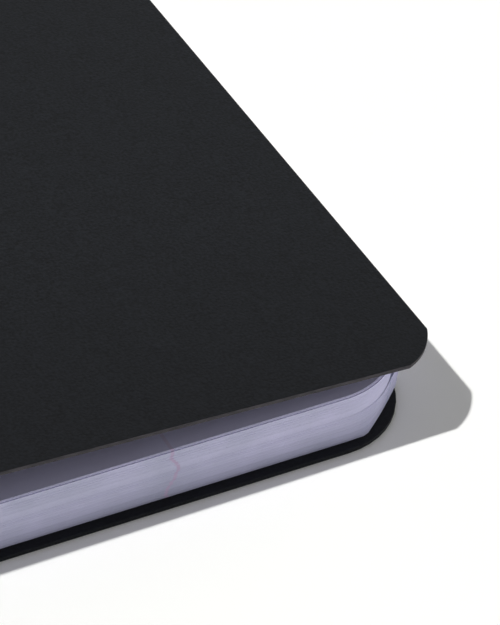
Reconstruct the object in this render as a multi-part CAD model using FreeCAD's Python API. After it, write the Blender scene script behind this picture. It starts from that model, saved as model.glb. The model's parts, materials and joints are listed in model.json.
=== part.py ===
import FreeCAD, Part
import math
import os
from FreeCAD import Vector

# A5 loose-leaf binder notebook, closed and lying on its rear cover.
# Millimetres. X runs from the spine to the fore edge, Y from the foot of the page to its head, Z up.
# While it is drawn, x = 0 is the centre line of the ring mechanism; export moves the origin to the
# middle of the notebook's footprint, on the surface that it lies on.

# --- pages -----------------------------------------------------------------------------------
page_width = 148.0
page_height = 210.0
page_corner = 10.0            # radius of the two corners at the fore edge
stack_thickness = 6.6         # 63 leaves
hole_edge = 5.6               # hole centre to the binding edge of the leaf
hole_clearance = 0.3          # between a hole and the wire, rings shut or open
drape_slope = 20.0            # degrees, where the leaves come down off the mechanism
drape_start = 5.0             # level stretch of leaf over the mechanism, from its centre line

# --- case: one creased sheet of polypropylene -------------------------------------------------
sheet = 0.5
rear_margin_end = 1.0         # rear cover beyond the leaves at head and foot
rear_margin_fore = 0.15       # rear cover beyond the leaves at the fore edge
rear_corner = 9.5
front_overhang = 1.3          # front cover beyond the rear cover at the fore edge
front_inset_end = 0.5         # front cover short of the rear cover at head and foot
front_corner = 7.2
front_corner_miss = 0.52      # its cutting rule sits this far out, so it meets the fore edge at an angle
fore_gap = 1.5                # leaves to the underside of the front cover, at the fore edge
fold_gap = 0.3                # between two panels of the case at their crease
spine_clearance = 2.3         # opened rings to the inside of the spine

# --- ring mechanism ---------------------------------------------------------------------------
ring_pitch = 19.0             # between neighbouring rings of a group of three
ring_centre_pitch = 70.0      # between the two groups
rings_per_group = 3
wire_diameter = 2.2
wire_flats = 12               # sides of the outline that stands for the wire's round section
ring_bends = 16               # straights that the wire is drawn with on its way round a half ring
ring_open_angle = 12.0        # degrees, each half
page_headroom = 1.0           # leaves to the inside of the shut ring
cover_headroom = 0.4          # opened ring to the underside of the front cover
tip_gap = 0.3                 # between the two tips of a shut ring
tip_peg_diameter = 0.8
tip_peg_length = 0.6
tip_socket_clearance = 0.2
leg_start_angle = 43.0        # degrees below the level of the ring's centre, where the leg begins

blade_thickness = 0.7
blade_reach = 6.6             # centre line to the axis on which a blade rocks
blade_seam = 0.3              # between the two blades, at the centre line
blade_lift = 0.9              # rear cover to the underside of the blades
leg_head_diameter = 3.0
leg_head_height = 0.3

plate_thickness = 0.5
plate_crown = 0.5             # rise of the plate's top over its width
plate_shoulder = 0.9          # radius of its long edges
plate_lip = 2.0               # turned-in foot under the blades' outer edges
plate_end = 15.0              # plate beyond the last ring, along the spine
plate_end_corner = 3.0
plate_clearance = 0.3         # between the plate and the parts that move in it
blade_end_gap = 2.0           # blades short of the plate, at each end

rivet_pitch = 44.0
rivet_shank_diameter = 3.2
rivet_head_diameter = 5.8
rivet_head_height = 0.45
rivet_bore_diameter = 1.8
rivet_sink = 0.5              # depth of the dimples that take the rivet's two heads
rivet_side_gap = 0.3          # head to the wall of its dimple

# --- worked out from the above ----------------------------------------------------------------
wire_radius = wire_diameter / 2
swing = math.radians(ring_open_angle)
floor_z = sheet                                    # top face of the rear cover
blade_axis_z = floor_z + blade_lift + blade_thickness / 2
blade_top = blade_axis_z + blade_thickness / 2
seam_reach = blade_reach - blade_seam / 2
plate_ceiling = (blade_axis_z + seam_reach * math.sin(swing) + blade_thickness / 2 * math.cos(swing)
                 + plate_clearance)
plate_top = plate_ceiling + plate_thickness
plate_half = blade_reach + blade_thickness / 2 + plate_clearance + plate_thickness

stack_top = plate_top + stack_thickness            # over the mechanism
ring_inside_top = stack_top + page_headroom
ring_inner = (ring_inside_top - blade_top) / 2
ring_radius = ring_inner + wire_radius             # of the wire's centre line
ring_z = blade_top + ring_inner
ring_outer = ring_radius + wire_radius
leg_drop = math.radians(leg_start_angle)
leg_x = ring_radius * math.cos(leg_drop)


def swung(x, z):
    """Where a point of the fore-edge half goes when the rings are fully open."""
    dx, dz = x - blade_reach, z - blade_axis_z
    return (blade_reach + dx * math.cos(swing) + dz * math.sin(swing),
            blade_axis_z - dx * math.sin(swing) + dz * math.cos(swing))


wire_in = math.sqrt(ring_inner ** 2 - (stack_top - ring_z) ** 2)
wire_out = swung(0, ring_z)[0] + ring_outer
hole_radius = (wire_out - wire_in) / 2 + hole_clearance
hole_x = (wire_out + wire_in) / 2
binding_x = hole_x - hole_edge
leaf_fore_x = binding_x + page_width
rear_fore_x = leaf_fore_x + rear_margin_fore
front_fore_x = rear_fore_x + front_overhang
fold_x = -(wire_out + spine_clearance + sheet / 2)  # mid-plane of the spine
rear_height = page_height + 2 * rear_margin_end
front_height = rear_height - 2 * front_inset_end

fold_low_z = sheet / 2
underside_ring = swung(0, ring_z + ring_outer)[1] + cover_headroom
underside_fore = floor_z + stack_thickness + fore_gap
cover_tilt = math.atan((underside_ring - underside_fore) / front_fore_x)
fold_high_z = underside_ring + sheet / 2 / math.cos(cover_tilt) - fold_x * math.tan(cover_tilt)
spine_outer_x = fold_x - sheet / 2
middle_x = (spine_outer_x + front_fore_x) / 2

plate_length = 2 * (ring_centre_pitch / 2 + (rings_per_group - 1) * ring_pitch + plate_end)
blade_length = plate_length - 2 * blade_end_gap
upper_ring_ys = [ring_centre_pitch / 2 + i * ring_pitch for i in range(rings_per_group)]
ring_ys = [-y for y in reversed(upper_ring_ys)] + upper_ring_ys
rivet_ys = [-rivet_pitch / 2, rivet_pitch / 2]
dimple_radius = rivet_head_diameter / 2 + rivet_side_gap

AXIS_X = Vector(1, 0, 0)
AXIS_Y = Vector(0, 1, 0)
AXIS_Z = Vector(0, 0, 1)
MITRED = 1                    # how a sweep turns from one straight of its path to the next
UPRIGHT = 0.99                # z of an edge's unit direction, from which it counts as upright


def box(x0, x1, y0, y1, z0, z1):
    return Part.makeBox(x1 - x0, y1 - y0, z1 - z0, Vector(x0, y0, z0))


def line(a, b):
    return Part.LineSegment(Vector(*a), Vector(*b)).toShape()


def arc(a, middle, b):
    return Part.Arc(Vector(*a), Vector(*middle), Vector(*b)).toShape()


def extruded(edges, along):
    return Part.Face(Part.Wire(edges)).extrude(along)


def upright_edges(shape, beyond_x):
    return [e for e in shape.Edges
            if abs(e.tangentAt(e.FirstParameter).z) > UPRIGHT and e.CenterOfMass.x > beyond_x]


def panel(x0, x1, height, corner, thickness, miss=0.0):
    """Flat panel centred on Y, with its two corners at x1 cut round; miss moves the cutting rule out."""
    blank = box(x0, x1 + miss, -height / 2, height / 2, 0, thickness)
    cut = blank.makeFillet(corner, upright_edges(blank, (x0 + x1) / 2))
    return cut.common(box(x0, x1, -height / 2, height / 2, 0, thickness))


def wire_outline(radius, centre, axis):
    """Regular outline round an axis that is square to Y."""
    across = axis.cross(AXIS_Y)
    turns = [2 * math.pi * (i + 0.5) / wire_flats for i in range(wire_flats)]
    points = [centre + (AXIS_Y * math.cos(turn) + across * math.sin(turn)) * radius for turn in turns]
    return Part.makePolygon(points + points[:1])


def pin(radius, start, way):
    """Straight piece of wire, as long as way."""
    return Part.Face(wire_outline(radius, start, Vector(way).normalize())).extrude(way)


def dimpled(shape, y, top, depth, thickness, up):
    """Press a round dimple for a rivet head into a sheet; its floor is one thickness further on."""
    way = AXIS_Z if up else -AXIS_Z
    mouth = Vector(0, y, top)
    skin = Part.makeCylinder(dimple_radius + thickness, depth, mouth + way * thickness, way)
    well = Part.makeCylinder(dimple_radius, depth, mouth, way)
    hole = Part.makeCylinder(rivet_shank_diameter / 2, 2 * (depth + thickness), mouth - way * depth, way)
    return shape.fuse(skin).cut(well).cut(hole).removeSplitter()


def rear_cover():
    shape = panel(fold_x + sheet / 2 + fold_gap, rear_fore_x, rear_height, rear_corner, sheet)
    for y in rivet_ys:
        shape = dimpled(shape, y, 0, rivet_sink, sheet, True)
    return shape


def spine():
    """Upright strip with a round bead on each crease, so that a panel turns round it."""
    shape = box(spine_outer_x, fold_x + sheet / 2, -rear_height / 2, rear_height / 2,
                fold_low_z, fold_high_z)
    for z in (fold_low_z, fold_high_z):
        bead = Part.makeCylinder(sheet / 2, rear_height, Vector(fold_x, -rear_height / 2, z), AXIS_Y)
        shape = shape.fuse(bead)
    return shape.removeSplitter()


def front_cover():
    start = sheet / 2 + fold_gap
    reach = (front_fore_x - fold_x - sheet / 2 * math.sin(cover_tilt)) / math.cos(cover_tilt)
    shape = panel(start, reach, front_height, front_corner, sheet, front_corner_miss)
    shape.translate(Vector(0, 0, -sheet / 2))
    shape.rotate(Vector(0, 0, 0), AXIS_Y, math.degrees(cover_tilt))
    shape.translate(Vector(fold_x, 0, fold_high_z))
    return shape


def drape(z_up, z_down, slope, x_start, inner, outer):
    """Edges of an S-bend from level z_up to level z_down: a hump arc, then a hollow arc."""
    half = slope / 2
    hump = Vector(x_start, 0, z_up - inner)
    knee = Vector(x_start + inner * math.sin(slope), 0, hump.z + inner * math.cos(slope))
    hollow = Vector(knee.x + outer * math.sin(slope), 0, knee.z + outer * math.cos(slope))
    first = arc((x_start, 0, z_up),
                (hump.x + inner * math.sin(half), 0, hump.z + inner * math.cos(half)), tuple(knee))
    second = arc(tuple(knee),
                 (hollow.x - outer * math.sin(half), 0, hollow.z - outer * math.cos(half)),
                 (hollow.x, 0, z_down))
    return first, second, hollow.x


def page_block():
    """All the leaves as one solid; they lie flat and rise over the mechanism at the binding edge."""
    slope = math.radians(drape_slope)
    drop = plate_top - floor_z
    bend = drop / (2 * (1 - math.cos(slope)))
    top_z = floor_z + stack_thickness
    low = drape(plate_top, floor_z, slope, drape_start, bend, bend)
    high = drape(stack_top, top_z, slope, drape_start, bend + stack_thickness, bend - stack_thickness)
    edges = [line((binding_x, 0, plate_top), (drape_start, 0, plate_top)), low[0], low[1],
             line((low[2], 0, floor_z), (leaf_fore_x, 0, floor_z)),
             line((leaf_fore_x, 0, floor_z), (leaf_fore_x, 0, top_z)),
             line((leaf_fore_x, 0, top_z), (high[2], 0, top_z)), high[1], high[0],
             line((drape_start, 0, stack_top), (binding_x, 0, stack_top)),
             line((binding_x, 0, stack_top), (binding_x, 0, plate_top))]
    block = extruded(edges, AXIS_Y * page_height)
    block.translate(AXIS_Y * (-page_height / 2))
    block = block.common(panel(binding_x, leaf_fore_x, page_height, page_corner, stack_top))
    for y in ring_ys:
        block = block.cut(Part.makeCylinder(hole_radius, stack_top, Vector(hole_x, y, 0), AXIS_Z))
    return block.removeSplitter()


def channel_section(half, top, shoulder, crown, foot):
    """Closed outline of a crowned channel, from its left foot over the top to its right foot."""
    edge_z = top - crown
    side = half - shoulder
    turn = shoulder * (1 - math.cos(math.pi / 4))
    return [line((-half, 0, foot), (-half, 0, edge_z - shoulder)),
            arc((-half, 0, edge_z - shoulder), (-half + turn, 0, edge_z - turn), (-side, 0, edge_z)),
            arc((-side, 0, edge_z), (0, 0, top), (side, 0, edge_z)),
            arc((side, 0, edge_z), (half - turn, 0, edge_z - turn), (half, 0, edge_z - shoulder)),
            line((half, 0, edge_z - shoulder), (half, 0, foot)),
            line((half, 0, foot), (-half, 0, foot))]


def cover_plate():
    """Arched housing of the mechanism, with turned-in feet, slots for the rings and rivet dimples."""
    length = AXIS_Y * plate_length
    shape = extruded(channel_section(plate_half, plate_top, plate_shoulder, plate_crown, floor_z), length)
    inside = extruded(channel_section(plate_half - plate_thickness, plate_ceiling,
                                      plate_shoulder - plate_thickness, plate_crown,
                                      floor_z + plate_thickness), length)
    mouth = plate_half - plate_lip
    shape = shape.cut(inside).cut(box(-mouth, mouth, 0, plate_length, 0, floor_z + plate_thickness))
    shape.translate(AXIS_Y * (-plate_length / 2))
    ends = box(-plate_half, plate_half, -plate_length / 2, plate_length / 2, 0, plate_top)
    ends = ends.makeFillet(plate_end_corner, upright_edges(ends, -stack_top))
    shape = shape.common(ends)

    ceiling = plate_ceiling - plate_crown
    slot_in = math.sqrt(ring_inner ** 2 - (ring_z - ceiling) ** 2) - plate_clearance
    rim = math.sqrt(ring_outer ** 2 - (ring_z - plate_top) ** 2)
    slot_out = swung(rim, plate_top)[0] + plate_clearance
    slot_half = wire_radius + plate_clearance
    for y in ring_ys:
        for low, high in ((slot_in, slot_out), (-slot_out, -slot_in)):
            shape = shape.cut(box(low, high, y - slot_half, y + slot_half, blade_top, stack_top))
    for y in rivet_ys:
        shape = dimpled(shape, y, plate_top, rivet_sink, plate_thickness, False)
    return shape


def blade(side):
    """Carrier blade on one side of the centre line; its rounded outer edge is the rocking axis."""
    low = blade_axis_z - blade_thickness / 2
    shape = box(blade_seam / 2, blade_reach, -blade_length / 2, blade_length / 2, low, blade_top)
    bead = Part.makeCylinder(blade_thickness / 2, blade_length,
                             Vector(blade_reach, -blade_length / 2, blade_axis_z), AXIS_Y)
    shape = shape.fuse(bead).removeSplitter()
    notch = dimple_radius + plate_thickness + plate_clearance
    for y in rivet_ys:
        shape = shape.cut(Part.makeCylinder(notch, plate_top, Vector(0, y, 0), AXIS_Z))
    for y in ring_ys:
        shape = shape.cut(pin(wire_radius, Vector(leg_x, y, 0), AXIS_Z * plate_top))
    return shape if side > 0 else mirrored(shape)


def mirrored(shape):
    return shape.mirror(Vector(0, 0, 0), AXIS_X)


def ring_half(side, y):
    """Bent wire from the tip at the top, round one side, down through the blade to a peened head."""
    tip_angle = math.asin(tip_gap / 2 / ring_radius)
    turn = (math.pi / 2 + leg_drop - tip_angle) / ring_bends
    angles = [tip_angle + i * turn for i in range(ring_bends + 1)]
    route = [Vector(ring_radius * math.sin(angle), y, ring_z + ring_radius * math.cos(angle))
             for angle in angles]
    tip = route[0]
    foot = Vector(leg_x, y, blade_axis_z - blade_thickness / 2)
    path = Part.makePolygon(route + [foot])
    outline = wire_outline(wire_radius, tip, (route[1] - tip).normalize())
    shape = path.makePipeShell([outline], True, True, MITRED)
    shape = shape.fuse(pin(leg_head_diameter / 2, foot, AXIS_Z * -leg_head_height))
    if side > 0:
        socket_depth = tip_peg_length - tip_gap + tip_socket_clearance
        return shape.cut(pin(tip_peg_diameter / 2 + tip_socket_clearance, Vector(0, y, tip.z),
                             AXIS_X * (tip.x + socket_depth)))
    return mirrored(shape).fuse(pin(tip_peg_diameter / 2, Vector(-tip.x - wire_radius, y, tip.z),
                                    AXIS_X * (tip_peg_length + wire_radius)))


def rivet(y):
    """Tubular rivet set in the two dimples, through plate and rear cover."""
    low = rivet_sink - rivet_head_height
    high = plate_top - rivet_sink
    shape = Part.makeCylinder(rivet_shank_diameter / 2, high - low, Vector(0, y, low), AXIS_Z)
    for z in (low, high):
        shape = shape.fuse(Part.makeCylinder(rivet_head_diameter / 2, rivet_head_height,
                                             Vector(0, y, z), AXIS_Z))
    return shape.cut(Part.makeCylinder(rivet_bore_diameter / 2, plate_top, Vector(0, y, 0), AXIS_Z))


def export(shape, name):
    shape.translate(Vector(-middle_x, 0, 0))
    solids = shape.Solids
    assert len(solids) == 1 and solids[0].isValid(), name
    solids[0].exportStep("parts/%s.step" % name)
    print("%-16s volume %10.2f mm3" % (name, solids[0].Volume))


def main():
    os.makedirs("parts", exist_ok=True)
    export(rear_cover(), "rear_cover")
    export(spine(), "spine")
    export(front_cover(), "front_cover")
    export(page_block(), "page_block")
    export(cover_plate(), "cover_plate")
    export(blade(-1), "blade_left")
    export(blade(1), "blade_right")
    for number, y in enumerate(ring_ys, 1):
        export(ring_half(-1, y), "ring_left_%d" % number)
        export(ring_half(1, y), "ring_right_%d" % number)
    for number, y in enumerate(rivet_ys, 1):
        export(rivet(y), "rivet_%d" % number)
    print("origin shift %.4f, fold x %.4f, low z %.4f, high z %.4f, blade axis x %.4f z %.4f"
          % (middle_x, fold_x - middle_x, fold_low_z, fold_high_z, blade_reach, blade_axis_z))
    print("ring centre z %.4f radius %.4f, hole x %.4f radius %.4f, tilt %.4f deg, plate top %.4f"
          % (ring_z, ring_radius, hole_x, hole_radius, math.degrees(cover_tilt), plate_top))
    print("overall %.2f x %.2f x %.2f" % (front_fore_x - spine_outer_x, rear_height,
                                          fold_high_z + sheet / 2))


main()
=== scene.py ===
import json
import math
import random

import bpy
from mathutils import Matrix, Vector, geometry


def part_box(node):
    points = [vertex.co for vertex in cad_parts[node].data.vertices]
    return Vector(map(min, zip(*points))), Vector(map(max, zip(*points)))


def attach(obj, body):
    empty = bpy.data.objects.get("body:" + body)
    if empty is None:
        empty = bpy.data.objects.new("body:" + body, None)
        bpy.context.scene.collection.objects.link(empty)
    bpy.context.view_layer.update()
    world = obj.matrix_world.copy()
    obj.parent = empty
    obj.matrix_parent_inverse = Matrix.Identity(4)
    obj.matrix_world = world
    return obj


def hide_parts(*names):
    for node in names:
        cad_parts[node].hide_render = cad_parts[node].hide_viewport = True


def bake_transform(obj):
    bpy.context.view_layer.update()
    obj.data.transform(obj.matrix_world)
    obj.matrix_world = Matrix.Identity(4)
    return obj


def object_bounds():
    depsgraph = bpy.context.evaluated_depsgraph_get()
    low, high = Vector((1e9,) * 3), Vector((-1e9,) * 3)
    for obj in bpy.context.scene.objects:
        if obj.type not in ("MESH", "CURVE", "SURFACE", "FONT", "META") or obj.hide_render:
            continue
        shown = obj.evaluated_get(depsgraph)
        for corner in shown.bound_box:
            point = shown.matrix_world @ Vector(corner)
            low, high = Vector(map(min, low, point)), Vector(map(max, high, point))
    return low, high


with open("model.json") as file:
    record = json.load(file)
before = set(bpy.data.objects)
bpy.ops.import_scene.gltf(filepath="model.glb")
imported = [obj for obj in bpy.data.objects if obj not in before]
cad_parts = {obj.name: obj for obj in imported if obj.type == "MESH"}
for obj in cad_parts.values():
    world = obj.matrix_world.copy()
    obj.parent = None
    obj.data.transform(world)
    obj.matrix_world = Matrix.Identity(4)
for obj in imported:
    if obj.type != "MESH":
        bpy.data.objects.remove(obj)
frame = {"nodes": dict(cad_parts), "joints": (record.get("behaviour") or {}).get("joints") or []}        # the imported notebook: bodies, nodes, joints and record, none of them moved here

mm = 0.001               # every size below is in millimetres until it meets a mesh or a texture
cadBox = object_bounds()


def nodeBox(name):
    return [Vector(corner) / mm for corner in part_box(name)]


# the notebook's own measures, read off the frame
joints = {joint["name"]: joint for joint in frame["joints"]}
foldLow = Vector(joints["spine_fold"]["pos_m"]) / mm      # crease between rear cover and spine
foldHigh = Vector(joints["cover_fold"]["pos_m"]) / mm     # crease between spine and front cover
rearLow, rearHigh = nodeBox("rear_cover")
frontLow, frontHigh = nodeBox("front_cover")
spineLow, spineHigh = nodeBox("spine")
leafLow, leafHigh = nodeBox("page_block")
plateLow, plateHigh = nodeBox("cover_plate")
sheetThickness = spineHigh.x - spineLow.x
mechanismX = (plateLow.x + plateHigh.x) / 2
ringYs = []
for number in range(1, 1 + sum(name.startswith("ring_right") for name in frame["nodes"])):
    ringLow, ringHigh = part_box(f"ring_right_{number}")
    ringYs.append((ringLow[1] + ringHigh[1]) / 2 / mm)


def linear(hexColour):
    channels = [int(hexColour[i:i + 2], 16) / 255 for i in (1, 3, 5)]
    return [c / 12.92 if c <= 0.04045 else ((c + 0.055) / 1.055) ** 2.4 for c in channels] + [1.0]


def addNode(tree, kind, settings=None, links=None):
    node = tree.nodes.new(kind)
    for name, value in (settings or {}).items():
        if isinstance(name, str) and hasattr(node, name):
            setattr(node, name, value)
        else:
            node.inputs[name].default_value = value
    for name, socket in (links or {}).items():
        tree.links.new(socket, node.inputs[name])
    return node


def startMaterial(name, shaderSettings):
    material = bpy.data.materials.new(name)
    material.use_nodes = True
    tree = material.node_tree
    tree.nodes.clear()
    shader = addNode(tree, "ShaderNodeBsdfPrincipled", shaderSettings)
    addNode(tree, "ShaderNodeOutputMaterial", links={"Surface": shader.outputs[0]})
    place = addNode(tree, "ShaderNodeTexCoord").outputs["Object"]
    return material, tree, shader, place


def perSize(sizeMm):
    return 1 / (sizeMm * mm)      # noise scale that makes one cell this big


mixA, mixB, mixed = 6, 7, 2       # colour sockets of the mix node, whose names repeat


# polypropylene sheet, extruded and chilled on a sand-blasted roller: near black and matt, with a
# grain that breaks the highlight up into specks. The real grain is finer; it is drawn as coarse as
# it needs to show. Towards the foot edge the colour is painted darker: painted shade, not a mark on the
# sheet
polypropylene = {
    "dark": "#030406", "pale": "#1D2025", "ior": 1.49, "specular": 0.22,
    "roughness": 0.56, "roughnessSway": 0.12, "swayMm": 45.0,
    "grainMm": 0.3, "grainShare": 0.7, "grainDepth": 0.035, "mottleMm": 2.2, "mottleShare": 0.3,
    "paintedShadeMm": 28.0, "paintedShadeTone": 0.64,
}


def makePolypropylene(name, facts):
    material, tree, shader, place = startMaterial(name, {
        "Roughness": facts["roughness"], "IOR": facts["ior"], "Specular IOR Level": facts["specular"]})
    grain = addNode(tree, "ShaderNodeTexNoise", {"Scale": perSize(facts["grainMm"]), "Detail": 3.0},
                    {"Vector": place}).outputs["Fac"]
    mottle = addNode(tree, "ShaderNodeTexNoise", {"Scale": perSize(facts["mottleMm"]), "Detail": 4.0},
                     {"Vector": place}).outputs["Fac"]
    sway = addNode(tree, "ShaderNodeTexNoise", {"Scale": perSize(facts["swayMm"]), "Detail": 1.0},
                   {"Vector": place}).outputs["Fac"]
    tone = addNode(tree, "ShaderNodeMapRange", {
        "From Min": 0.3, "From Max": 0.7, "To Max": facts["grainShare"]}, {"Value": grain}).outputs["Result"]
    tone = addNode(tree, "ShaderNodeMath", {"operation": "MULTIPLY_ADD", 1: facts["mottleShare"]},
                   {0: mottle, 2: tone}).outputs[0]
    headward = addNode(tree, "ShaderNodeSeparateXYZ", links={"Vector": place}).outputs["Y"]
    # painted shade: the sheet's colour darkens towards the foot edge
    paintedFootShade = addNode(tree, "ShaderNodeMapRange", {
        "From Min": rearLow.y * mm, "From Max": (rearLow.y + facts["paintedShadeMm"]) * mm,
        "To Min": facts["paintedShadeTone"]}, {"Value": headward}).outputs["Result"]
    tone = addNode(tree, "ShaderNodeMath", {"operation": "MULTIPLY"}, {0: tone, 1: paintedFootShade}).outputs[0]
    colour = addNode(tree, "ShaderNodeMix", {
        "data_type": "RGBA", mixA: linear(facts["dark"]), mixB: linear(facts["pale"])}, {"Factor": tone})
    rough = addNode(tree, "ShaderNodeMath", {
        "operation": "MULTIPLY_ADD", 1: facts["roughnessSway"],
        2: facts["roughness"] - facts["roughnessSway"] / 2}, {0: sway})
    relief = addNode(tree, "ShaderNodeBump", {"Distance": facts["grainDepth"] * mm}, {"Height": grain})
    tree.links.new(colour.outputs[mixed], shader.inputs["Base Color"])
    tree.links.new(rough.outputs[0], shader.inputs["Roughness"])
    tree.links.new(relief.outputs["Normal"], shader.inputs["Normal"])
    return material


# the sheet's inner side ran on the polished roller: smoother and shinier, so it throws light onto
# the page under it
# it keeps the same painted shade towards the foot edge
smoothPolypropylene = dict(polypropylene, dark="#383941", pale="#505159", roughness=0.2, specular=0.7,
                           grainMm=0.5, grainDepth=0.004)


# the same sheet where the cutting rule went through it: rougher and paler, with streaks that run
# along the edge
cutPolypropylene = {
    "dark": "#2C2A2D", "pale": "#454145", "roughness": 0.7, "ior": 1.49, "specular": 0.3,
    "streakMm": 1.6, "streakSquash": 3.0, "streakDepth": 0.02,
}


def makeCutPolypropylene():
    facts = cutPolypropylene
    material, tree, shader, place = startMaterial("dieCutPolypropyleneEdge", {
        "Roughness": facts["roughness"], "IOR": facts["ior"], "Specular IOR Level": facts["specular"]})
    squashed = addNode(tree, "ShaderNodeMapping", {"Scale": (1, 1, facts["streakSquash"])},
                       {"Vector": place}).outputs["Vector"]
    streaks = addNode(tree, "ShaderNodeTexNoise", {"Scale": perSize(facts["streakMm"]), "Detail": 3.0},
                      {"Vector": squashed}).outputs["Fac"]
    tone = addNode(tree, "ShaderNodeMapRange", {"From Min": 0.3, "From Max": 0.7}, {"Value": streaks})
    colour = addNode(tree, "ShaderNodeMix", {
        "data_type": "RGBA", mixA: linear(facts["dark"]), mixB: linear(facts["pale"])},
        {"Factor": tone.outputs["Result"]})
    relief = addNode(tree, "ShaderNodeBump", {"Distance": facts["streakDepth"] * mm}, {"Height": streaks})
    tree.links.new(colour.outputs[mixed], shader.inputs["Base Color"])
    tree.links.new(relief.outputs["Normal"], shader.inputs["Normal"])
    return material


# uncoated writing paper, offset printed and guillotined: bright bluish white and dead matt, with
# feint ruling and a pale mauve margin line that shows on the cut edges as well. The fibres are
# drawn coarser than real ones, so that they show
writingPaper = {
    # the edge colour is the same paper drawn darker: painted shade for the stack's cut side
    "white": "#DEDBFB", "shade": "#D8D4F2", "edge": "#BDBED4", "between": "#8A8CA9",
    "roughness": 0.92, "ior": 1.45, "specular": 0.15,
    "fibreMm": 0.35, "fibreShare": 0.5, "fibreDepth": 0.01, "cloudMm": 9.0,
    "rule": "#A9B2CE", "rulePitch": 7.0, "ruleWidth": 0.18,
    # the margin ink on the edges is drawn darker with it, so it holds the same painted shade
    "faceMargin": "#D7CDEC", "edgeMargin": "#BEACC9", "marginWidth": 0.38, "marginFromFore": 29.4,
}


def makeWritingPaper(name, paper, marginInk):
    facts = writingPaper
    material, tree, shader, place = startMaterial(name, {
        "Roughness": facts["roughness"], "IOR": facts["ior"], "Specular IOR Level": facts["specular"]})
    fibres = addNode(tree, "ShaderNodeTexNoise", {"Scale": perSize(facts["fibreMm"]), "Detail": 4.0},
                     {"Vector": place}).outputs["Fac"]
    clouds = addNode(tree, "ShaderNodeTexNoise", {"Scale": perSize(facts["cloudMm"]), "Detail": 4.0},
                     {"Vector": place}).outputs["Fac"]
    clouded = addNode(tree, "ShaderNodeMapRange", {"From Min": 0.35, "From Max": 0.65},
                      {"Value": clouds}).outputs["Result"]
    flecked = addNode(tree, "ShaderNodeMath", {"operation": "MULTIPLY", 1: facts["fibreShare"]},
                      {0: fibres}).outputs[0]

    # the mesh holds how far each leaf's print has slipped, and each leaf's edge tone with the painted shade
    # between the leaves
    shiftX, shiftY, sheetToneWithPaintedShade = (
        addNode(tree, "ShaderNodeAttribute", {"attribute_name": field}).outputs["Fac"]
        for field in ("printShiftX", "printShiftY", "sheetToneWithPaintedShade"))
    axes = addNode(tree, "ShaderNodeSeparateXYZ", links={"Vector": place}).outputs
    printX = addNode(tree, "ShaderNodeMath", {"operation": "SUBTRACT"}, {0: axes["X"], 1: shiftX}).outputs[0]
    printY = addNode(tree, "ShaderNodeMath", {"operation": "SUBTRACT"}, {0: axes["Y"], 1: shiftY}).outputs[0]
    onMargin = addNode(tree, "ShaderNodeMath", {
        "operation": "COMPARE", 1: (leafHigh.x - facts["marginFromFore"]) * mm,
        2: facts["marginWidth"] / 2 * mm}, {0: printX}).outputs[0]
    onRule = printY
    halfPitch = facts["rulePitch"] / 2 * mm
    for operation, value in (("ADD", halfPitch), ("PINGPONG", halfPitch),
                             ("LESS_THAN", facts["ruleWidth"] / 2 * mm)):
        onRule = addNode(tree, "ShaderNodeMath", {"operation": operation, 1: value}, {0: onRule}).outputs[0]

    colour = addNode(tree, "ShaderNodeMix", {
        "data_type": "RGBA", mixA: linear(paper), mixB: linear(facts["shade"])}, {"Factor": clouded})
    # random tone and the painted shade between the leaves pull the colour towards the between colour
    for share, over in ((sheetToneWithPaintedShade, facts["between"]), (flecked, paper), (onRule, facts["rule"]),
                        (onMargin, marginInk)):
        colour = addNode(tree, "ShaderNodeMix", {"data_type": "RGBA", mixB: linear(over)},
                         {"Factor": share, mixA: colour.outputs[mixed]})
    relief = addNode(tree, "ShaderNodeBump", {"Distance": facts["fibreDepth"] * mm}, {"Height": fibres})
    tree.links.new(colour.outputs[mixed], shader.inputs["Base Color"])
    tree.links.new(relief.outputs["Normal"], shader.inputs["Normal"])
    return material


# bright nickel plating over drawn wire and pressed strip: a warm grey mirror, clouded a little, with
# fine lines along a strip that draw its highlight out. The blades are blanked from spring steel: the
# same grey, duller, with longer lines. All lines are drawn coarser than real ones, so that they show
nickel = {
    "base": "#DCDBD7", "low": "#C6C5C2", "cloudMm": 6.0, "lineMm": 0.12, "lineDepth": 0.004,
    "smoothest": 0.7, "roughest": 1.4,          # times the finish's own roughness, which comes next
    "wireRough": 0.16, "stripRough": 0.24, "springRough": 0.38,
    "wireStretch": 1.0, "stripStretch": 0.03, "springStretch": 0.02,      # a line's width over its length
}


def makeNickel(name, roughness, lineStretch):
    facts = nickel
    material, tree, shader, place = startMaterial(name, {"Metallic": 1.0})
    stretched = addNode(tree, "ShaderNodeMapping", {"Scale": (1, lineStretch, 1)},
                        {"Vector": place}).outputs["Vector"]
    lines = addNode(tree, "ShaderNodeTexNoise", {"Scale": perSize(facts["lineMm"]), "Detail": 2.0},
                    {"Vector": stretched}).outputs["Fac"]
    cloud = addNode(tree, "ShaderNodeTexNoise", {"Scale": perSize(facts["cloudMm"]), "Detail": 3.0},
                    {"Vector": place}).outputs["Fac"]
    tone = addNode(tree, "ShaderNodeMapRange", {"From Min": 0.3, "From Max": 0.7}, {"Value": cloud})
    colour = addNode(tree, "ShaderNodeMix", {
        "data_type": "RGBA", mixA: linear(facts["low"]), mixB: linear(facts["base"])},
        {"Factor": tone.outputs["Result"]})
    rough = addNode(tree, "ShaderNodeMapRange", {
        "From Min": 0.2, "From Max": 0.8, "To Min": roughness * facts["smoothest"],
        "To Max": roughness * facts["roughest"]}, {"Value": lines})
    relief = addNode(tree, "ShaderNodeBump", {"Distance": facts["lineDepth"] * mm}, {"Height": lines})
    tree.links.new(colour.outputs[mixed], shader.inputs["Base Color"])
    tree.links.new(rough.outputs["Result"], shader.inputs["Roughness"])
    tree.links.new(relief.outputs["Normal"], shader.inputs["Normal"])
    return material


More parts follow.
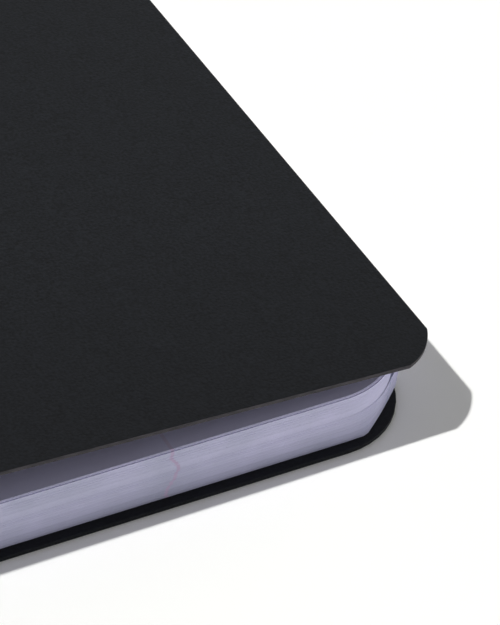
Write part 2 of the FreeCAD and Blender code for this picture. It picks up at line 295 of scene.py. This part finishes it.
sandedSheet = makePolypropylene("sandedPolypropyleneSheet", polypropylene)
smoothSheet = makePolypropylene("calenderedPolypropyleneInside", smoothPolypropylene)
cutSheet = makeCutPolypropylene()
leafFace = makeWritingPaper("offsetPrintedWritingPaper", writingPaper["white"], writingPaper["faceMargin"])
# the cut edges of the leaves take the darker edge colour, which is painted shade
leafEdge = makeWritingPaper("guillotinedPaperEdge", writingPaper["edge"], writingPaper["edgeMargin"])
nickelWire = makeNickel("nickelPlatedDrawnWire", nickel["wireRough"], nickel["wireStretch"])
nickelStrip = makeNickel("nickelPlatedPressedStrip", nickel["stripRough"], nickel["stripStretch"])
springStrip = makeNickel("blankedSpringSteelStrip", nickel["springRough"], nickel["springStretch"])
print("materials made")


def makePiece(name, points, faces, materials, faceMaterials=None, smooth=False):
    mesh = bpy.data.meshes.new(name)
    mesh.from_pydata([Vector(point) * mm for point in points], [], faces)
    for material in materials:
        mesh.materials.append(material)
    if faceMaterials:
        mesh.polygons.foreach_set("material_index", faceMaterials)
    mesh.polygons.foreach_set("use_smooth", [smooth] * len(mesh.polygons))
    mesh.validate()
    mesh.update()
    piece = bpy.data.objects.new(name, mesh)
    bpy.context.collection.objects.link(piece)
    return piece


def roundCorner(centre, radius, start, end, steps):
    return [(centre[0] + radius * math.cos(start + (end - start) * i / steps),
             centre[1] + radius * math.sin(start + (end - start) * i / steps)) for i in range(steps + 1)]


# outline with two rounded fore corners; with a miss, the rounds lie that far out and are cut off by
# the edges, which they then meet at an angle
def panelOutline(x0, x1, halfHeight, radius, steps, missX=0.0, missY=0.0):
    middleX = x1 + missX - radius
    middleY = halfHeight + missY - radius
    foreStop = math.acos(min(1.0, (x1 - middleX) / radius))
    footStop = math.asin(min(1.0, (halfHeight - middleY) / radius))
    outline = [(x0, -halfHeight)]
    outline += roundCorner((middleX, -middleY), radius, -footStop, -foreStop, steps)
    outline += roundCorner((middleX, middleY), radius, foreStop, footStop, steps)
    return outline + [(x0, halfHeight)]


# case: one polypropylene sheet, whose panels stop a little short of the creases between them
caseSheet = {"creaseGap": 0.55, "edgeSoft": 0.07, "edgeSegments": 2, "sharpAngle": 35.0}


def makeSheetPanel(name, outline, placeMatrix, node, body):
    facts = caseSheet
    count = len(outline)
    points = [placeMatrix @ Vector((x, y, z))
              for z in (-sheetThickness / 2, sheetThickness / 2) for x, y in outline]
    faces = [tuple(reversed(range(count))), tuple(range(count, 2 * count))]
    faces += [(i, (i + 1) % count, count + (i + 1) % count, count + i) for i in range(count)]
    kinds = [2, 0] + [1] * count
    panel = makePiece(name, points, faces, [sandedSheet, cutSheet, smoothSheet], kinds, smooth=True)
    panel.data.set_sharp_from_angle(angle=math.radians(facts["sharpAngle"]))
    bevel = panel.modifiers.new("softEdge", "BEVEL")
    bevel.width = facts["edgeSoft"] * mm
    bevel.segments = facts["edgeSegments"]
    bevel.limit_method = "ANGLE"
    bevel.angle_limit = math.radians(facts["sharpAngle"])
    bevel.harden_normals = True
    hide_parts(node)
    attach(panel, body)


# front cover: the sheet's far panel, sloping down to the fore edge; its rounds were cut too far out
frontCover = {"corner": 8.25, "foreMiss": 0.7, "footMiss": 0.55, "cornerSteps": 28, "tiltTurns": 4}


def tiltOfFront():
    tilt = 0.0
    # the sheet's half thickness leans with the panel, so the tilt is worked out a few times over
    for _ in range(frontCover["tiltTurns"]):
        foreX = frontHigh.x - sheetThickness / 2 * math.sin(tilt)
        foreZ = frontLow.z + sheetThickness / 2 * math.cos(tilt)
        tilt = math.atan2(foldHigh.z - foreZ, foreX - foldHigh.x)
    return tilt, (foreX - foldHigh.x) / math.cos(tilt)


def makeFrontCover():
    facts = frontCover
    tilt, reach = tiltOfFront()
    outline = panelOutline(caseSheet["creaseGap"], reach, (frontHigh.y - frontLow.y) / 2, facts["corner"],
                           facts["cornerSteps"], facts["foreMiss"], facts["footMiss"])
    sloping = Matrix.Translation(foldHigh) @ Matrix.Rotation(tilt, 4, "Y")
    makeSheetPanel("frontCoverSheet", outline, sloping, "front_cover", "case_front")


makeFrontCover()
print("front cover made")


# spine: the narrow upright panel
def makeSpine():
    gap = caseSheet["creaseGap"]
    halfHeight = (spineHigh.y - spineLow.y) / 2
    length = foldHigh.z - foldLow.z
    outline = [(gap, -halfHeight), (length - gap, -halfHeight),
               (length - gap, halfHeight), (gap, halfHeight)]
    upright = Matrix.Translation(foldLow) @ Matrix.Rotation(-math.pi / 2, 4, "Y")
    makeSheetPanel("spineSheet", outline, upright, "spine", "case_spine")


makeSpine()
print("spine made")


# creases: the sheet pressed thin in two grooves along each fold, bent round a small radius
crease = {"steps": 12, "thinning": 0.16, "grooves": 2, "sharpAngle": 50.0}


def makeCrease(name, corner, startWay, endWay, halfHeight):
    facts = crease
    reach = caseSheet["creaseGap"]
    start, end = corner + startWay * reach, corner + endWay * reach
    halfAngle = startWay.angle(endWay) / 2
    radius = reach * math.tan(halfAngle)                      # arc that runs on into both panels
    centre = corner + (startWay + endWay).normalized() * (reach / math.cos(halfAngle))
    section = []
    for i in range(facts["steps"] + 1):
        t = i / facts["steps"]
        turned = (start - centre).normalized().slerp((end - centre).normalized(), t)
        pressed = math.sin(math.pi * t) ** 2 * abs(math.sin(facts["grooves"] * math.pi * t))
        outside = radius + sheetThickness / 2 - facts["thinning"] * pressed
        section.append((centre + turned * outside, centre + turned * (radius - sheetThickness / 2)))
    points, faces, kinds = [], [], []
    for y in (-halfHeight, halfHeight):
        for outer, inner in section:
            points += [Vector((outer.x, y, outer.z)), Vector((inner.x, y, inner.z))]
    row = 2 * len(section)
    for i in range(facts["steps"]):
        a, b = 2 * i, 2 * i + 2
        faces += [(a, b, b + row, a + row), (b + 1, a + 1, a + 1 + row, b + 1 + row),
                  (a + 1, b + 1, b, a), (a + row, b + row, b + 1 + row, a + 1 + row)]
        kinds += [0, 0, 1, 1]
    faces += [(1, 0, row, row + 1), (row - 2, row - 1, 2 * row - 1, 2 * row - 2)]
    kinds += [0, 0]
    strip = makePiece(name, points, faces, [sandedSheet, cutSheet], kinds, smooth=True)
    strip.data.set_sharp_from_angle(angle=math.radians(facts["sharpAngle"]))
    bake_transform(strip)


def makeCreases():
    tilt = tiltOfFront()[0]
    upward, alongFront = Vector((0, 0, 1)), Vector((math.cos(tilt), 0, -math.sin(tilt)))
    makeCrease("rearCrease", foldLow, Vector((1, 0, 0)), upward,
               (spineHigh.y - spineLow.y) / 2)
    makeCrease("frontCrease", foldHigh, -upward, alongFront,
               (frontHigh.y - frontLow.y) / 2)


makeCreases()
print("creases made")


# leaves: every sheet of the stack, punched, round-cornered, and bent up over the mechanism
leaves = {
    "count": 63, "thickness": 0.098, "corner": 10.0, "cornerSteps": 22, "sharpAngle": 35.0, "seed": 11,
    "holeEdge": 5.6, "holeRadius": 2.97, "holeSteps": 20,
    "holeClear": 2.91,          # faces whose middle is nearer than this to a hole's middle are cut out
    "drapeStart": 5.0, "drapeSlope": 20.0, "drapeSteps": 9,
    "innerArcs": (8.6, 6.6, 4.0), "innerSteps": 8, "weld": 1e-6,

    # the lower leaves, whose fore corners were cut nearly straight: how far out the straight cut
    # lies, where it faces, how much of it shows, and between which angles it fades as they rise
    "lowerCount": 34, "cutReach": 9.86, "cutAngle": 51.0, "cutShare": 0.85, "fadeFrom": 38.0, "fadeTo": 62.0,

    # the gap between lower and upper leaves at the fore-foot corner: its height, middle and width, how much
    # of it closes at the top, and the painted shade on the edges beside it
    "cornerGap": 0.4, "gapFore": 1.0, "gapFoot": 4.5, "gapReach": 5.6, "gapClosed": 0.6, "gapShade": 2.2,

    # how the leaves slip towards the fore edge (+) and the head (+), away from the rings' holes
    "rootDepth": 12.0, "lowerFore": 0.04, "upperFore": -0.06, "topFore": -0.08,
    "lowFoot": 0.12, "highFoot": -0.16, "topCount": 2, "topGap": 0.07, "topStep": 0.07,
    "stray": 0.02, "footStray": 0.6, "footSway": 0.3, "swayKept": 0.8,

    # how the print wanders: in shares of the stray, what is each leaf's own and what its neighbours
    # do too. Then how dark the edges are drawn: a random tone, and painted shade on the low leaves
    "marginDrift": 0.85,        # most in mid-stack
    "marginStray": 0.13, "marginOwn": 0.6, "marginSway": 0.7, "ruleSway": 0.5,
    "toneStray": 0.22, "lowShade": 0.42, "lowShadeTo": 0.62,
}
leafLevelLow = leafLow.z
leafLevelHigh = plateHigh.z
drapeSlope = math.radians(leaves["drapeSlope"])
drapeBend = (leafLevelHigh - leafLevelLow) / (2 * (1 - math.cos(drapeSlope)))
drapeRun = 2 * drapeBend * math.sin(drapeSlope)
leafHalfHeight = (leafHigh.y - leafLow.y) / 2


# moves a point of the rounded corner in or out along its radius, towards the straight cut
def cutStraighter(point, rise):
    facts = leaves
    fromX = point.x - (leafHigh.x - facts["corner"])
    fromY = abs(point.y) - (leafHalfHeight - facts["corner"])
    if fromX <= 0 or fromY <= 0:
        return point
    reach, angle = math.hypot(fromX, fromY), math.atan2(fromY, fromX)
    straight = min(facts["cutReach"] / math.cos(angle - math.radians(facts["cutAngle"])),
                   facts["corner"] / math.cos(angle), facts["corner"] / math.sin(angle))
    turned = (math.degrees(angle) - facts["fadeFrom"]) / (facts["fadeTo"] - facts["fadeFrom"])
    share = facts["cutShare"] * (1 - rise * min(1.0, max(0.0, turned)))
    return point + Vector((fromX, math.copysign(fromY, point.y))) * share * (straight - reach) / reach


# turns a point's distance along the flat leaf and its lift in the stack into a place on the drape:
# level over the mechanism, one bend down, one bend back and level again
def drapePoint(station, lift):
    bend = drapeBend
    startX = mechanismX + leaves["drapeStart"]
    midX, endX = startX + drapeRun / 2, startX + drapeRun
    if station <= startX:
        return station, leafLevelHigh + lift
    if station <= midX:
        turn = math.asin((station - startX) / bend)
        return startX + (bend + lift) * math.sin(turn), leafLevelHigh - bend + (bend + lift) * math.cos(turn)
    if station <= endX:
        turn = math.asin((endX - station) / bend)
        return endX - (bend - lift) * math.sin(turn), leafLevelLow + bend - (bend - lift) * math.cos(turn)
    return station, leafLevelLow + lift


def leafLayout():
    facts = leaves
    holeX = leafLow.x + facts["holeEdge"]
    holeEnd = 2 * math.pi * (1 - 1 / facts["holeSteps"])
    loops = [panelOutline(leafLow.x, leafHigh.x, leafHalfHeight, facts["corner"], facts["cornerSteps"])]
    for y in ringYs:
        loops.append(roundCorner((holeX, y), facts["holeRadius"], 0, holeEnd, facts["holeSteps"] - 1))
    flat, edges = [], []
    for loop in loops:
        first = len(flat)
        flat += [Vector(point) for point in loop]
        edges += [(first + i, first + (i + 1) % len(loop)) for i in range(len(loop))]
    for step in range(facts["drapeSteps"] + 1):
        first = len(flat)
        x = mechanismX + facts["drapeStart"] + step * drapeRun / facts["drapeSteps"]
        flat += [Vector((x, -leafHalfHeight)), Vector((x, leafHalfHeight))]
        edges.append((first, first + 1))
    centre = (leafHigh.x - facts["corner"], facts["corner"] - leafHalfHeight)
    for radius in facts["innerArcs"]:             # these let the foot corner lift as a smooth bulge
        arc = roundCorner(centre, radius, -math.pi / 2, 0, facts["innerSteps"])
        flat += [Vector(point) for point in arc]
    points, _, faces, _, _, _ = geometry.delaunay_2d_cdt(flat, edges, [], 1, facts["weld"])

    kept = []
    for face in faces:
        middle = sum((points[i] for i in face), Vector((0, 0))) / len(face)
        if all((middle - Vector((holeX, y))).length > facts["holeClear"] for y in ringYs):
            kept.append(face)
    sides = [side for face in kept for side in zip(face, face[1:] + face[:1])]
    twoWays = set(sides)
    rim = [(a, b) for a, b in sides if (b, a) not in twoWays]
    return points, kept, rim


def upperShare(leaf):
    return max(0.0, (leaf - leaves["lowerCount"]) / (leaves["count"] - leaves["lowerCount"]))


# where a leaf has slipped to, how far its margin line is off, and how dark its edges are drawn: a random
# tone plus painted shade low in the stack
def slipLeaf(leaf, sway):
    facts = leaves
    up = leaf / facts["count"]
    topmost = max(0, leaf + 1 + facts["topCount"] - facts["count"])          # 1 and 2 for the last two
    moveX = facts["lowerFore"]
    if leaf >= facts["lowerCount"]:
        moveX = facts["upperFore"] + (facts["topFore"] - facts["upperFore"]) * upperShare(leaf)
    moveX += facts["stray"] * random.uniform(-1, 1) - facts["topStep"] * topmost
    footStray = random.uniform(-facts["footStray"], facts["footStray"]) + facts["footSway"] * sway
    moveY = facts["stray"] * footStray + facts["topStep"] * topmost
    moveY += facts["lowFoot"] + (facts["highFoot"] - facts["lowFoot"]) * up
    marginStray = facts["marginOwn"] * random.uniform(-1, 1) + facts["marginSway"] * sway
    drift = facts["marginDrift"] * math.sin(math.pi * up) ** 3 + facts["marginStray"] * marginStray
    tone = facts["toneStray"] * random.random() ** 2
    tone += facts["lowShade"] * max(0.0, 1 - up / facts["lowShadeTo"])       # painted shade: the low leaves are drawn darker
    return moveX, moveY, drift, tone, facts["topGap"] if topmost else 0.0


def makeLeaves():
    facts = leaves
    random.seed(facts["seed"])
    flat, kept, rim = leafLayout()
    slack = (leafHigh.z - leafLevelHigh) - facts["count"] * facts["thickness"] - facts["topGap"]
    pitch = facts["thickness"] + slack / facts["count"]
    points, faces, kinds, shiftX, shiftY, tonesWithPaintedShade = [], [], [], [], [], []
    sway = 0.0
    for leaf in range(facts["count"]):
        sway = facts["swayKept"] * sway + random.uniform(-1, 1)
        moveX, moveY, drift, tone, risen = slipLeaf(leaf, sway)
        lower = leaf < facts["lowerCount"]
        outline = [cutStraighter(point, leaf / facts["lowerCount"]) for point in flat] if lower else flat
        gapHeight = 0.0 if lower else facts["cornerGap"] * (1 - facts["gapClosed"] * upperShare(leaf))
        # painted shade on the edges of the two leaves beside the gap, strongest near it
        gapShade = facts["gapShade"] if leaf in (facts["lowerCount"] - 1, facts["lowerCount"]) else 0.0
        base, top = len(points), len(points) + len(flat)
        for skin in (0.0, facts["thickness"]):
            for point in outline:
                toGap = math.hypot(leafHigh.x - facts["gapFore"] - point.x,
                                   point.y - leafLow.y - facts["gapFoot"])
                near = max(0.0, 1 - toGap / facts["gapReach"])
                x, z = drapePoint(point.x, leaf * pitch + skin + risen + gapHeight * near)
                slips = 0.0 if x < leafLow.x + facts["rootDepth"] else 1.0
                points.append(Vector((x + moveX * slips, point.y + moveY * slips, z)))
                tonesWithPaintedShade.append(max(tone, min(1.0, gapShade * near)))
        shiftX += [drift * mm] * 2 * len(flat)
        shiftY += [(moveY + facts["ruleSway"] * facts["marginStray"] * sway) * mm] * 2 * len(flat)
        faces += [tuple(base + i for i in reversed(face)) for face in kept]
        faces += [tuple(top + i for i in face) for face in kept]
        faces += [(base + a, base + b, top + b, top + a) for a, b in rim]
        kinds += [0] * (2 * len(kept)) + [1] * len(rim)
    stack = makePiece("looseLeaves", points, faces, [leafFace, leafEdge], kinds, smooth=True)
    stack.data.set_sharp_from_angle(angle=math.radians(facts["sharpAngle"]))
    for field, values in (("printShiftX", shiftX), ("printShiftY", shiftY), ("sheetToneWithPaintedShade", tonesWithPaintedShade)):
        stack.data.attributes.new(field, "FLOAT", "POINT").data.foreach_set("value", values)
    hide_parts("page_block")
    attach(stack, "case_rear")
    print("leaves made:", facts["count"], "sheets,", len(faces), "faces")


makeLeaves()


# rings: round wire bent to a half circle, with a peg on one tip, a socket in the other, and a leg
# that goes down into the blade. The leg's bend begins legLead degrees before legAngle and ends
# legDrop below it, and a tip's outline is a list of steps along the wire with the radius at each
ringWire = {
    "radius": 1.1, "bend": 5.967, "legAngle": 133.0, "legLead": 13.0, "legDrop": 1.1,
    "sides": 24, "arcSteps": 36, "legSteps": 6, "sharpAngle": 40.0,
    "tipGap": 0.3, "edgeRound": 0.14, "edgeTurns": (0.0, 0.5, 1.0, 1.5),
    "peg": ((-0.6, 0.24), (-0.57, 0.34), (-0.5, 0.4), (0.0, 0.4)),
    "socket": ((0.5, 0.3), (0.5, 0.6), (0.04, 0.6), (0.0, 0.64)),
}


def ringStations(tipOutline):
    facts = ringWire
    low, high = nodeBox("ring_right_1")
    centreZ = high.z - facts["bend"] - facts["radius"]
    rounding = facts["edgeRound"]

    def onRing(angle):
        return Vector((facts["bend"] * math.sin(angle), 0, centreZ + facts["bend"] * math.cos(angle)))

    def wayAt(angle):
        return Vector((math.cos(angle), 0, -math.sin(angle)))

    tipAngle = math.asin(facts["tipGap"] / 2 / facts["bend"])
    tipEdge = [(rounding * (1 - math.cos(turn)), facts["radius"] - rounding * (1 - math.sin(turn)))
               for turn in facts["edgeTurns"]]
    stations = [(onRing(tipAngle) + wayAt(tipAngle) * along, wayAt(tipAngle), radius)
                for along, radius in list(tipOutline) + tipEdge]
    legAngle = math.radians(facts["legAngle"])
    firstAngle = tipAngle + 2 * rounding / facts["bend"]
    lastAngle = legAngle - math.radians(facts["legLead"])
    for i in range(facts["arcSteps"] + 1):
        angle = firstAngle + (lastAngle - firstAngle) * i / facts["arcSteps"]
        stations.append((onRing(angle), wayAt(angle), facts["radius"]))
    corner = onRing(legAngle)
    bendStart, bendEnd = onRing(lastAngle), corner - Vector((0, 0, facts["legDrop"]))
    for i in range(1, facts["legSteps"] + 1):
        t = i / facts["legSteps"]
        way = (corner - bendStart).lerp(bendEnd - corner, t).normalized()
        stations.append((bendStart.lerp(corner, t).lerp(corner.lerp(bendEnd, t), t), way, facts["radius"]))
    stations.append((Vector((corner.x, 0, low.z)), Vector((0, 0, -1)), facts["radius"]))
    return stations


def makeRing(name, node, body, stations, side, y):
    facts = ringWire
    sides = facts["sides"]
    points = []
    for centre, way, radius in stations:
        across = way.cross(Vector((0, 1, 0)))
        for k in range(sides):
            turn = 2 * math.pi * k / sides
            point = centre + (across * math.cos(turn) + Vector((0, 1, 0)) * math.sin(turn)) * radius
            points.append(Vector((mechanismX + side * point.x, y + side * point.y, point.z)))
    faces = [tuple(range(sides)), tuple(reversed(range(len(points) - sides, len(points))))]
    for row in range(len(stations) - 1):
        for k in range(sides):
            a, b = row * sides + k, row * sides + (k + 1) % sides
            faces.append((b, a, a + sides, b + sides))
    ring = makePiece(name, points, faces, [nickelWire], smooth=True)
    ring.data.set_sharp_from_angle(angle=math.radians(facts["sharpAngle"]))
    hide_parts(node)
    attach(ring, body)


def makeRings():
    pegged, socketed = ringStations(ringWire["peg"]), ringStations(ringWire["socket"])
    for i, y in enumerate(ringYs, 1):
        makeRing(f"bentWireLeft{i}", f"ring_left_{i}", "rings_left", pegged, -1, y)
        makeRing(f"bentWireRight{i}", f"ring_right_{i}", "rings_right", socketed, 1, y)


makeRings()
print("rings made")


# what stays as it was pressed, blanked and bent: only its surface is given here
finishes = {"rear_cover": sandedSheet, "cover_plate": nickelStrip, "blade_left": springStrip,
            "blade_right": springStrip, "rivet_1": nickelStrip, "rivet_2": nickelStrip}
for nodeName, finish in finishes.items():
    for materialSlot in frame["nodes"][nodeName].material_slots:
        materialSlot.material = finish
print("frame pieces finished")


# table: white, and it keeps the notebook's shadow; it looks whiter than the light it throws back
whiteTable = {"size": 3000.0, "drop": 0.02, "colour": "#F2F2F2", "seen": "#FFFFFC", "roughness": 0.9}


def makeTable():
    facts = whiteTable
    half = facts["size"] / 2
    level = cadBox[0][2] / mm - facts["drop"]
    material, tree, shader, _ = startMaterial("paintedTableTop", {
        "Roughness": facts["roughness"], "Specular IOR Level": 0.0})
    toCamera = addNode(tree, "ShaderNodeLightPath").outputs["Is Camera Ray"]
    colour = addNode(tree, "ShaderNodeMix", {
        "data_type": "RGBA", mixA: linear(facts["colour"]), mixB: linear(facts["seen"])},
        {"Factor": toCamera})
    tree.links.new(colour.outputs[mixed], shader.inputs["Base Color"])
    corners = [(-half, -half, level), (half, -half, level), (half, half, level), (-half, half, level)]
    makePiece("table", corners, [(0, 1, 2, 3)], [material])


# lamp: small and far off on the spine side, so its shadow is crisp and falls past the fore edge
keyLamp = {"travel": (0.6232, -0.1797, -1.0), "strength": 2.7, "spread": 1.8}


def makeLamp():
    lamp = bpy.data.lights.new("keyLamp", "SUN")
    lamp.energy = keyLamp["strength"]
    lamp.angle = math.radians(keyLamp["spread"])
    lampObject = bpy.data.objects.new("keyLamp", lamp)
    lampObject.rotation_euler = Vector(keyLamp["travel"]).to_track_quat("-Z", "Y").to_euler()
    bpy.context.collection.objects.link(lampObject)


# room: pale light, strongest near the floor and past the fore edge, where a white board stands;
# shiny pieces mirror a plainer room, with a bright horizon and a softbox right overhead
paleRoom = {
    "floor": 0.82, "wall": 0.315, "ceiling": 0.21, "wallTop": 0.3, "foreLift": 0.22, "headLift": 0.11,
    "board": 2.4, "boardTop": (0.2, 0.3), "boardSide": (0.6, 0.85),
    "glossHorizon": 1.0, "glossWall": 0.32, "glossCeiling": 0.02, "glossRise": (0.1, 0.4, 0.9),
    "softbox": 1.0, "softboxSide": (0.93, 0.97),
}


def makeRoom():
    facts = paleRoom
    world = bpy.data.worlds.new("paleRoom")
    world.use_nodes = True
    tree = world.node_tree
    tree.nodes.clear()
    path = addNode(tree, "ShaderNodeLightPath").outputs
    way = addNode(tree, "ShaderNodeTexCoord").outputs["Generated"]
    foreward, headward, upward = addNode(tree, "ShaderNodeSeparateXYZ", links={"Vector": way}).outputs

    # each ramp: which way it runs, where it starts and ends, and its level at both
    ramps = {
        "gloss": (upward, *facts["glossRise"][:2], facts["glossHorizon"], facts["glossWall"]),
        "glossAbove": (upward, *facts["glossRise"][1:], 0.0, facts["glossCeiling"] - facts["glossWall"]),
        "softbox": (upward, *facts["softboxSide"], 0.0, facts["softbox"]),
        "room": (upward, 0.0, facts["wallTop"], facts["floor"], facts["wall"]),
        "roomAbove": (upward, facts["wallTop"], 1.0, 0.0, facts["ceiling"] - facts["wall"]),
        "fore": (foreward, -1.0, 1.0, 1 - facts["foreLift"], 1 + facts["foreLift"]),
        "head": (headward, -1.0, 1.0, 1 - facts["headLift"], 1 + facts["headLift"]),
        "boardTop": (upward, *facts["boardTop"], 1.0, 0.0),
        "board": (foreward, *facts["boardSide"], 0.0, facts["board"]),
    }
    levels = {}
    for name, (axis, start, end, first, last) in ramps.items():
        ramp = addNode(tree, "ShaderNodeMapRange", {
            "From Min": start, "From Max": end, "To Min": first, "To Max": last}, {"Value": axis})
        levels[name] = ramp.outputs["Result"]
    for target, operation, source in (
            ("gloss", "ADD", "glossAbove"), ("gloss", "ADD", "softbox"), ("room", "ADD", "roomAbove"),
            ("room", "MULTIPLY", "fore"), ("room", "MULTIPLY", "head"), ("board", "MULTIPLY", "boardTop"),
            ("room", "ADD", "board")):
        levels[target] = addNode(tree, "ShaderNodeMath", {"operation": operation},
                                 {0: levels[target], 1: levels[source]}).outputs[0]
    glossy = addNode(tree, "ShaderNodeMix", {"data_type": "FLOAT"}, {
        "Factor": path["Is Glossy Ray"], "A": levels["room"], "B": levels["gloss"]}).outputs["Result"]
    strength = addNode(tree, "ShaderNodeMix", {"data_type": "FLOAT", "B": 1.0}, {
        "Factor": path["Is Camera Ray"], "A": glossy}).outputs["Result"]
    back = addNode(tree, "ShaderNodeBackground", {"Color": (1, 1, 1, 1)}, {"Strength": strength})
    addNode(tree, "ShaderNodeOutputWorld", links={"Surface": back.outputs[0]})
    bpy.context.scene.world = world


# camera: a long lens on the fore-foot corner, with its aim measured in from the rear cover's edges
cornerCamera = {
    "aimFore": 14.66, "aimFoot": 13.23, "aimHeight": 9.84, "distance": 301.14,
    "azimuth": 32.307, "elevation": 40.183, "roll": -6.301, "lens": 172.8, "nearest": 10.0,
}


def makeCamera():
    facts = cornerCamera
    azimuth, elevation, roll = (math.radians(facts[key]) for key in ("azimuth", "elevation", "roll"))
    forward = Vector((math.sin(azimuth) * math.cos(elevation), math.cos(azimuth) * math.cos(elevation),
                      -math.sin(elevation)))
    side = Vector((math.cos(azimuth), -math.sin(azimuth), 0))
    level = side.cross(forward)
    up = level * math.cos(roll) + side * math.sin(roll)
    aim = Vector((rearHigh.x - facts["aimFore"], rearLow.y + facts["aimFoot"], facts["aimHeight"]))
    eye = (aim - forward * facts["distance"]) * mm
    turn = Matrix((forward.cross(up), up, -forward)).transposed().to_4x4()
    camera = bpy.data.cameras.new("camera")
    camera.lens = facts["lens"]
    camera.clip_start = facts["nearest"] * mm
    cameraObject = bpy.data.objects.new("camera", camera)
    cameraObject.matrix_world = Matrix.Translation(eye) @ turn
    bpy.context.collection.objects.link(cameraObject)
    bpy.context.scene.camera = cameraObject


makeTable()
makeLamp()
makeRoom()
makeCamera()
bpy.context.scene.view_settings.view_transform = "Standard"
print("studio made")
